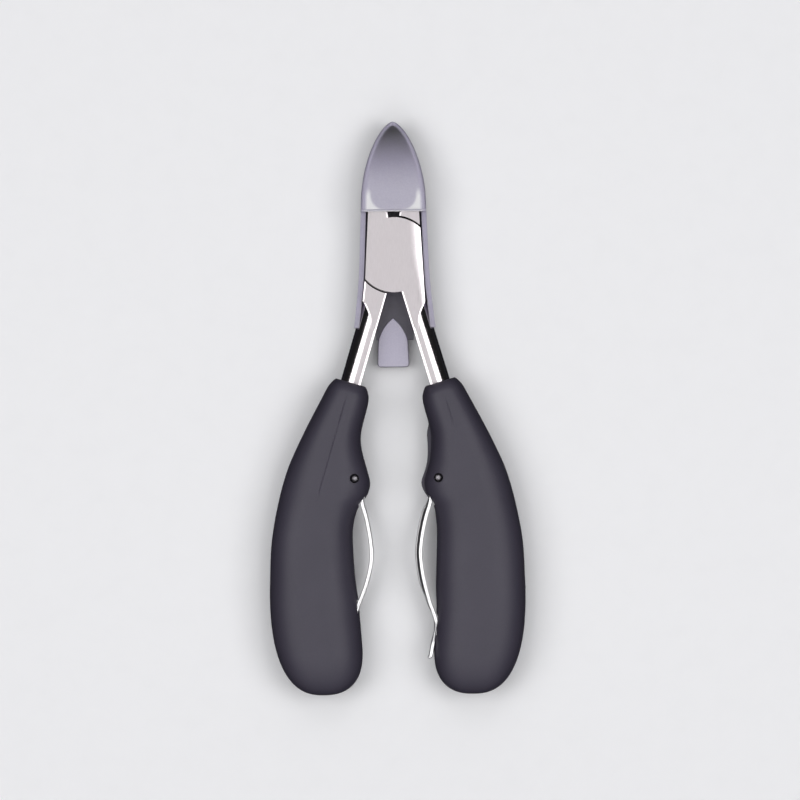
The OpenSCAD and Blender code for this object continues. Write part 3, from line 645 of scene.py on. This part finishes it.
def spring_line(crown, seat, out):
    """Sideways distance of a leaf's middle down the handle, from the pin's eye to its seat.
    At the grip's surface it comes out this far beyond it."""
    line = [(PIN_D, PIN_X - EYE_R)]
    for k in range(-4, 5):
        end = EXIT_D if k < 0 else seat
        side = grip_in(end) - (out if k < 0 else 0.0)
        u = abs(k) / 4
        line.append((mix(CROWN_D, end, u), mix(crown, side, u**1.65)))
    return line


LEFT_LINE = spring_line(CROWN_LEFT, SEAT_LEFT, 0.0) + [(LEFT_END, grip_in(SEAT_LEFT) + LEFT_END_IN)]
RIGHT_LINE = spring_line(CROWN_RIGHT, SEAT_RIGHT, EXIT_RIGHT_OUT)
RIGHT_LINE += [(SEAT_RIGHT + 1.5, grip_in(SEAT_RIGHT)), (RIGHT_END, RIGHT_END_X)]


def leaf_path(line, end_d, roll):
    """Middle of a leaf in plan: round its eye, down its line and, if it has one, round its end's roll."""
    path = []
    for a in [math.radians(mix(-90, 174, k / 27)) for k in range(28)]:
        path.append((PIN_X + EYE_R * math.cos(a), -PIN_D + EYE_R * math.sin(a)))
    path += [(along(line, d), -d) for d in [mix(PIN_D, end_d, k / 110) for k in range(111)]]
    if roll:
        x, y = path[-1]
        for a in [math.radians(17 * k) for k in range(1, 9)]:
            path.append((x - roll * (1 - math.cos(a)), y - roll * math.sin(a)))
    return path


def leaf_section(beaded):
    """Section of a leaf, across and up: round corners, or a bead in place of the lower one in the gap."""
    t, w, r = LEAF_T / 2, LEAF_W / 2, LEAF_R
    section = []
    for sx, sz, start in ((t, w, 0), (-t, w, 90), (-t, -w, 180), (t, -w, 270)):
        if beaded and start == 180:
            section += [(-t - BEAD_OUT + BEAD_R * math.cos(a), BEAD_R - w + BEAD_R * math.sin(a))
                        for a in [math.radians(k) for k in range(100, 280, 20)]]
            continue
        middle = (sx - math.copysign(r, sx), sz - math.copysign(r, sz))
        section += [(middle[0] + r * math.cos(a), middle[1] + r * math.sin(a))
                    for a in [math.radians(start + turn) for turn in (0, 30, 60, 90)]]
    return section


def leaf(line, end_d, lean, roll):
    """Flat strip swept round its eye and down its line. A leaning one shows the bead of its lower edge,
    has a neck where it leaves the grip and ends in a small roll."""
    path = leaf_path(line, end_d, roll)
    section = leaf_section(lean > 0)
    t, w = LEAF_T / 2, LEAF_W / 2
    rings = []
    for i, (x, y) in enumerate(path):
        a, b = Vector(path[max(i - 1, 0)]), Vector(path[min(i + 1, len(path) - 1)])
        run = (b - a).normalized()
        side = Vector((-run.y, run.x))
        tip = lean * window(-y, *LEAN_SPAN)
        neck = bound(1 - abs(NECK_D + y) / NECK_RUN) if roll else 0.0
        bead = window(-y, *BEAD_SPAN)
        ring = []
        for s, z in section:
            s = (max(s, -t) + bead * min(s + t, 0)) * (1 - NECK_THINNER * neck)
            across = side.x * s - tip * (w - z) / LEAF_W
            ring.append((x + across, y + side.y * s, z * (1 - NECK_NARROWER * neck)))
        rings.append(ring)
    return loft(rings)


# Each slot: the line it follows, two sideways distances from it, its start and end down the handle, and its
# half-height
EXIT_SLOT = (spring_line(6.0, SEAT_LEFT, 0.0), -0.85, 0.95, PIN_D, EXIT_D + 1.1, 2.6)
LEFT_SLOT = (LEFT_LINE, -0.55, 0.8, SEAT_LEFT - 1, LEFT_END + 1, 2.5)
RIGHT_SLOT = (RIGHT_LINE, -1.5, 0.7, SEAT_RIGHT - 3, SEAT_RIGHT + 4, 2.5)
# Below this the grip's rings lie closer, for its round end
CLOSER_D = 94.5


def grip_shell(lip, sink, sink_end, top, tail_slot):
    """Upper half of the right grip, hollow, with its bores, pin hole and spring slots."""
    spots = [COLLAR_D + COLLAR_ROUND * (k / 14) ** 2 for k in range(14)]
    spots += [mix(COLLAR_D + COLLAR_ROUND, CLOSER_D, k / 64) for k in range(64)]
    spots += [END_D - (END_D - CLOSER_D) * ((40 - k) / 40) ** 2.2 for k in range(40)]
    shell = loft([grip_ring(d, lip, sink, sink_end, top) for d in spots])
    start, end = COLLAR_D + 1.1 * WALL, END_D - 1.25 * WALL
    cut(shell, loft([cavity_ring(mix(start, end, k / 28)) for k in range(29)]))
    cut(shell, shank(COLLAR_D - 3, COLLAR_D + 2.1, FIT), tang(TANG_R + 0.06, TANG_END + 1))
    bore = PIN_R + 0.03
    hole = [(EYE_ROOM_R, -FAR), (EYE_ROOM_R, EYE_ROOM_Z), (bore, EYE_ROOM_Z), (bore, SINK_Z),
            (SINK_R, SINK_Z), (SINK_R, FAR)]
    return cut(shell, lathe(hole, (PIN_X, -PIN_D, 0)), band(*EXIT_SLOT), band(*tail_slot))


# Unevenness of the grips' inner edges, as (distance down the handle, how far the edge stands out)
EVEN = [(57, 0), (59.2, 0.3), (60.8, 0), (65, -0.4), (72, -0.45), (79, -0.35), (84, 0)]
FULLER = [(59.2, 0.2), (60.8, 0.1), (65, 0.5), (72, 0.65), (80, 0.5), (86, 0)]
SET_BACK = [(45, 0), (47.6, -0.2), (50, -0.45), (52.4, -0.45), (55, -0.35), (57, -0.3)] + FULLER
STANDING_OUT = [(40, 0), (42.7, 0.95), (45.4, 0.85), (47.6, 0.5), (50, 0.14), (52.4, 0.1), (55, 0.35),
                (57, 0.3)] + FULLER
NO_FLAT = 99.0

shell = grip_shell(SET_BACK, 0.12, 40, NO_FLAT, RIGHT_SLOT)
piece(shell, "right_grip_front_shell", "front", grip_coat)
shell = turned(grip_shell(STANDING_OUT, 0.0, 40, REST_Z, RIGHT_SLOT), BACK)
piece(shell, "right_grip_back_shell", "front", grip_coat)
shell = turned(grip_shell(EVEN, 0.13, 57, NO_FLAT, LEFT_SLOT), MIRROR)
piece(shell, "left_grip_front_shell", "rear", grip_coat)
shell = turned(grip_shell(EVEN, 0.0, 57, REST_Z, LEFT_SLOT), TURN)
piece(shell, "left_grip_back_shell", "rear", grip_coat)

right_spring = leaf(RIGHT_LINE, RIGHT_END, RIGHT_LEAN, RIGHT_ROLL)
piece(right_spring, "right_spring", "front", spring_steel)
left_spring = turned(leaf(LEFT_LINE, LEFT_END, 0.0, 0.0), MIRROR)
piece(left_spring, "left_spring", "rear", spring_steel)
pin_end = [(PIN_R, PIN_L - 0.45), (0.68, PIN_L - 0.2), (0.45, PIN_L - 0.05), (0.1, PIN_L)]
pin_profile = [(r, -z) for r, z in reversed(pin_end)] + pin_end
piece(lathe(pin_profile, (PIN_X, -PIN_D, 0)), "right_spring_pin", "front", pin_steel)
piece(lathe(pin_profile, (-PIN_X, -PIN_D, 0)), "left_spring_pin", "rear", pin_steel)
for spring, side in ((right_spring, 1), (left_spring, -1)):
    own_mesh(spring)


# Cap

POINT_Y, POINT_HALF_W, REACH, FLANGE_D, CAP_WALL = 13.0, 7.9, 32.4, 17.7, 1.25
CAP_T, CAP_TIP_T, CAP_R = 4.0, 2.0, 0.9
HOLLOW_T, HOLLOW_TIP_T, HOLLOW_R = 3.0, 1.3, 0.35
HOLLOW_REACH = REACH - 0.75 * CAP_WALL
COVER_END, COVER_STEP, FLANGE_Z, STEP_Z, FLANGE_THINNER = 10.5, 11.0, 1.5, 3.5, 0.9
LIP_START, LIP_T, LIP_SET_IN, LIP_UNDERCUT = 7.0, 0.295, 0.12, 0.35
PANEL_HALF_W, PANEL_START, PANEL_END, PANEL_EDGE = 4.6, 16.5, 20.7, 0.2
TONGUE_X, TONGUE_END, TONGUE_FOOT, TONGUE_EDGE = -0.45, 27.35, 0.9, 0.22
TONGUE_LOW, TONGUE_HIGH = -5.4, -2.85
TONGUE_SIDE = [(15.2, 0.0), (16.6, 1.47), (18.0, 2.49), (19.4, 3.18), (20.5, 3.56), (21.6, 3.68),
               (TONGUE_END - TONGUE_FOOT, 3.9)]
CAP_SIDE = [(-FLANGE_D, 9.95), (-15.1, 9.62), (-6.1, 8.7), (4.5, 8.22), (POINT_Y, POINT_HALF_W)]
MARKS_START, MARKS_END = 10, 18


def cap_edge(y, wall, reach):
    """Half-width of the cap, or of its hollow, from the flanges to the point."""
    if y < POINT_Y:
        thinner = FLANGE_THINNER * bound((y + LAP_R) / (LAP_R - FLANGE_D))
        return along(CAP_SIDE, y) - max(0.0, wall - thinner)
    u = bound((y - POINT_Y) / (reach - POINT_Y))
    return (POINT_HALF_W - wall) * (1 - u**1.76) ** 0.625


def cap_ring(y, half_w, half_h, corner, count):
    """Rounded section of the cap; its upper face has points enough for its marks."""
    r = min(corner, half_w * 0.6)
    inner = min(max(cap_edge(y, CAP_WALL, HOLLOW_REACH), half_w / 4), half_w * 0.98 - r)
    bend = [(half_w - r * (1 - math.cos(a)), half_h - r * (1 - math.sin(a)))
            for a in [math.radians(10 * k) for k in range(10)]]
    top = bend + [(mix(inner, -inner, k / count), half_h) for k in range(count + 1)]
    low = bend + [(inner, half_h), (-inner, half_h)]
    top += [(-x, z) for x, z in reversed(bend)]
    low += [(-x, z) for x, z in reversed(bend)]
    return [(x, y, z) for x, z in top] + [(x, y, -z) for x, z in reversed(low)]


def cap_solid(wall, reach, low_y, root_t, tip_t, corner, count):
    """The cap's outer form, or its hollow, with closer rings where the cover has its marks."""
    spots = [mix(low_y, MARKS_START, k / 30) for k in range(30)]
    spots += [mix(MARKS_START, MARKS_END, k / 32) for k in range(32)]
    spots += [mix(MARKS_END, reach, 1 - (1 - k / 55) ** 2.5) for k in range(55)]
    rings = []
    for y in spots:
        half_h = root_t if y < TAPER_Y else mix(root_t, tip_t, (y - TAPER_Y) / (reach + CAP_WALL - TAPER_Y))
        rings.append(cap_ring(y, cap_edge(y, wall, reach), half_h, corner, count))
    return loft(rings)


def tongue():
    """Pointed-arch tongue that stands a little proud of the panel, with soft edges."""
    top, foot = TONGUE_SIDE[0][0], TONGUE_END - TONGUE_FOOT
    right = [(along(TONGUE_SIDE, d), -d) for d in [mix(top, foot, k / 30) for k in range(31)]]
    right += [(right[-1][0] - TONGUE_FOOT * (1 - math.cos(a)), -foot - TONGUE_FOOT * math.sin(a))
              for a in [math.radians(15 * k) for k in range(1, 7)]]
    outline = [(TONGUE_X + x, y) for x, y in [(-x, y) for x, y in right if x > 1e-6] + right[::-1]]
    return prism(outline, TONGUE_LOW, TONGUE_HIGH, [TONGUE_EDGE] * len(outline), TONGUE_EDGE)


def flange_lip():
    """Upper edge of the right flange where it turns inward over the shank, undercut to clear it."""
    high = FLANGE_Z - 0.005
    low = high - LIP_T
    rings = []
    for y in [mix(-FLANGE_D + 0.01, -LIP_START, k / 20) for k in range(21)]:
        outer = along(CAP_SIDE, y) - LIP_SET_IN
        inner = along(CAP_SIDE, y) - CAP_WALL
        corners = ((inner + LIP_UNDERCUT, low), (outer, low), (outer, high), (inner, high))
        rings.append([(x, y, z) for x, z in corners])
    return loft(rings)


# Heights that tell the cover's skin and the panel's skin from the rest of the cap
COVER_Z, PANEL_SKIN = 1.6, (-4.1, -2.95)
# The tongue lies below this distance down the handles, and within this half-width
TONGUE_ZONE_D, TONGUE_ZONE_W = 15.0, 4.2
# The cover thins from here to the point
THIN_START, THIN_RUN = 15.0, 15.0
# The jaws' lands lie behind the cover outside an arch of this half-width and corner radius; there the cover
# gets its painted reflection of them
ARCH_HALF_W, ARCH_R, LANDS_END, LANDS_FADE = 5.4, 3.5, 17.5, 3.5


def to_point(y):
    """How far along the cover, from 0 where it starts to thin to 1 near the point."""
    return bound((y - THIN_START) / THIN_RUN) ** 1.75


def inside(x, y):
    """1 over the cap's hollow, softly falling to 0 over its walls, most softly near the point."""
    soft = mix(0.4, 1.2, to_point(y))
    return ease((cap_edge(y, CAP_WALL, HOLLOW_REACH) - abs(x)) / soft + 0.5) if y < HOLLOW_REACH else 0.0


def in_panel(z):
    return PANEL_SKIN[0] < z < PANEL_SKIN[1]


def thin_skin(x, y, z):
    """How thin the cap is: 0 in walls and tongue, more in its skins, most near the point."""
    if z > COVER_Z or y > TAPER_Y:
        return mix(0.1 * to_point(y), mix(0.08, 1.0, to_point(y)), inside(x, y))
    return 0.8 * inside(x, y) if in_panel(z) else 0.0


def painted_lands_and_thick_tongue(x, y, z):
    """Painted paleness: over the cover, a painted reflection of the jaws' lands that lie under it; on the
    thick tongue, its thickness.
    """
    if z > COVER_Z:
        a, b = abs(x) - (ARCH_HALF_W - ARCH_R), COVER_STEP + ARCH_R - y
        depth = (math.hypot(a, b) if min(a, b) > 0 else max(a, b)) - ARCH_R
        # Painted reflection of the jaws' steel: strong over the lands, weaker over the rest of the hollow,
        # fading toward the point.
        lands = ease(depth / 0.9 + 0.4) * ease((LANDS_END - y) / LANDS_FADE)
        return max(lands, 0.25 * (1 - to_point(y))) * inside(x, y)
    in_tongue = y < -TONGUE_ZONE_D and abs(x - TONGUE_X) < TONGUE_ZONE_W and not in_panel(z)
    return 0.18 if in_tongue else 0.0


def mark(obj, name, rule):
    """Gives each point of obj the value of a rule, for its material."""
    marks = obj.data.attributes.new(name, "FLOAT", "POINT")
    for vert, item in zip(obj.data.vertices, marks.data):
        item.value = rule(*vert.co)


jaw_cap = cap_solid(0.0, REACH, -FLANGE_D, CAP_T, CAP_TIP_T, CAP_R, 40)
cut(jaw_cap, cap_solid(CAP_WALL, HOLLOW_REACH, -FLANGE_D - 1, HOLLOW_T, HOLLOW_TIP_T, HOLLOW_R, 2))
for end, low in ((COVER_END, FLANGE_Z), (COVER_STEP, STEP_Z)):
    cut(jaw_cap, prism(oblong(-FAR, -2 * FAR, FAR, end), low, FAR))
panel = oblong(-PANEL_HALF_W, -PANEL_END, PANEL_HALF_W, -PANEL_START)
join(jaw_cap, prism(panel, 0.01 - CAP_T, -0.01 - HOLLOW_T, [PANEL_EDGE, 0, 0, 0], PANEL_EDGE), tongue())
join(jaw_cap, flange_lip(), turned(flange_lip(), MIRROR))
mark(jaw_cap, "thin_skin", thin_skin)
mark(jaw_cap, "painted_lands_and_thick_tongue", painted_lands_and_thick_tongue)
piece(jaw_cap, "jaw_cap", "cap", frosted)


# Floor, light and camera, in metres

FLOOR_HALF_W = 2.0
floor = solid([(x, y, 0) for x, y in oblong(-FLOOR_HALF_W, -FLOOR_HALF_W, FLOOR_HALF_W, FLOOR_HALF_W)],
              [[0, 1, 2, 3]])
floor.name = "floor"
paper, tree, shader, coord = surface("paper_backdrop_matt")
fill(shader, Roughness=0.8)
fibre = add(tree, "TexNoise", {}, {"Vector": coord.outputs["Object"], "Scale": per_mm(6), "Detail": 2.0})
tint = add(tree, "ValToRGB", {}, {"Fac": fibre.outputs["Fac"]})
tint.color_ramp.elements[0].color = linear("#f6f6f8")
tint.color_ramp.elements[1].color = linear("#fafafc")
tree.links.new(tint.outputs["Color"], shader.inputs["Base Color"])
# The steel mirrors a darker surrounding than the pale sheet that the eye sees.
path = add(tree, "LightPath", {}, {})
dark = add(tree, "BsdfDiffuse", {}, {"Color": linear("#26262a")})
shown = add(tree, "MixShader", {}, {"Fac": path.outputs["Is Camera Ray"], 1: dark.outputs["BSDF"],
                                    2: shader.outputs["BSDF"]})
tree.links.new(shown.outputs["Shader"], tree.nodes["Material Output"].inputs["Surface"])
floor.data.materials.append(paper)

world = bpy.data.worlds.new("studio")
world.use_nodes = True
tree = world.node_tree
# The room is dark at the sides and lighter beyond the jaws and the grips.
way = add(tree, "SeparateXYZ", {}, {"Vector": add(tree, "TexCoord", {}, {}).outputs["Generated"]})
end_on = add(tree, "Math", {"operation": "ABSOLUTE"}, {0: way.outputs["Y"]})
room = add(tree, "MapRange", {}, {"Value": end_on.outputs[0], "From Min": 0.4, "From Max": 0.8,
                                  "To Min": 0.03, "To Max": 0.7})
fill(tree.nodes["Background"], Color=linear("#b4b4b8"))
tree.links.new(room.outputs[0], tree.nodes["Background"].inputs["Strength"])
bpy.context.scene.world = world


def softbox(name, watts, size, place):
    """Square area lamp aimed at the object."""
    lamp = bpy.data.lights.new(name, "AREA")
    lamp.energy = watts
    lamp.size = size
    obj = bpy.data.objects.new(name, lamp)
    obj.location = place
    obj.rotation_euler = (-Vector(place)).to_track_quat("-Z", "Y").to_euler()
    bpy.context.scene.collection.objects.link(obj)


SIDE_WATTS, END_WATTS, BOX_SIZE, BOX_OUT, BOX_UP = 4.9, 1.9, 0.71, 0.627, 1.023
TOP_WATTS, TOP_SIZE, TOP_UP = 0.66, 0.6, 1.2
softbox("softbox_above", TOP_WATTS, TOP_SIZE, (0, 0, TOP_UP))
for name, watts, x, y in (("left", SIDE_WATTS, -BOX_OUT, 0), ("right", SIDE_WATTS, BOX_OUT, 0),
                          ("back", END_WATTS, 0, BOX_OUT), ("front", END_WATTS, 0, -BOX_OUT)):
    softbox("softbox_" + name, watts, BOX_SIZE, (x, y, BOX_UP))

CAMERA_PLACE, CAMERA_ROLL, FOCAL_LENGTH = (0.00107, 0.00201, 1.007), math.radians(-0.63), 184.5
lens = bpy.data.cameras.new("camera")
lens.lens = FOCAL_LENGTH
lens.clip_end = 10
camera = bpy.data.objects.new("camera", lens)
camera.location = CAMERA_PLACE
camera.rotation_euler = (0, 0, CAMERA_ROLL)
bpy.context.scene.collection.objects.link(camera)
bpy.context.scene.camera = camera
bpy.context.scene.view_settings.view_transform = "Standard"
